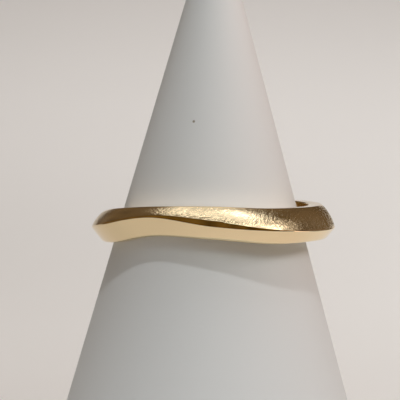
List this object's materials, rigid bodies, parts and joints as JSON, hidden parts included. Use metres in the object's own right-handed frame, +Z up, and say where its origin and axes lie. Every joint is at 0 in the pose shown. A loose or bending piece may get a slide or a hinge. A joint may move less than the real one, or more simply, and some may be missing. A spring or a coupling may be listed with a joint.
{
  "type": "twist ring on a display cone",
  "caption": "Gold finger ring whose ridge waves across the front between a polished and a frosted facet, hung on a plain white display cone.",
  "frame": {"origin": "centre of the cone's flat base, on the surface that it stands on", "axes": "+Z up along the cone's axis, -Y towards the front of the ring, where the wave is, +X towards the ring's thick side"},
  "size_m": [0.032, 0.032, 0.0514],
  "materials": {
    "yellow_gold": "solid yellow gold: polished bore, rims, bevel and lower facet, and a diamond-frosted upper facet",
    "white_resin": "cast white resin with a smooth satin skin"
  },
  "bodies": {
    "root": {"twist_ring": "yellow_gold", "display_cone": "white_resin"}
  },
  "joints": []
}
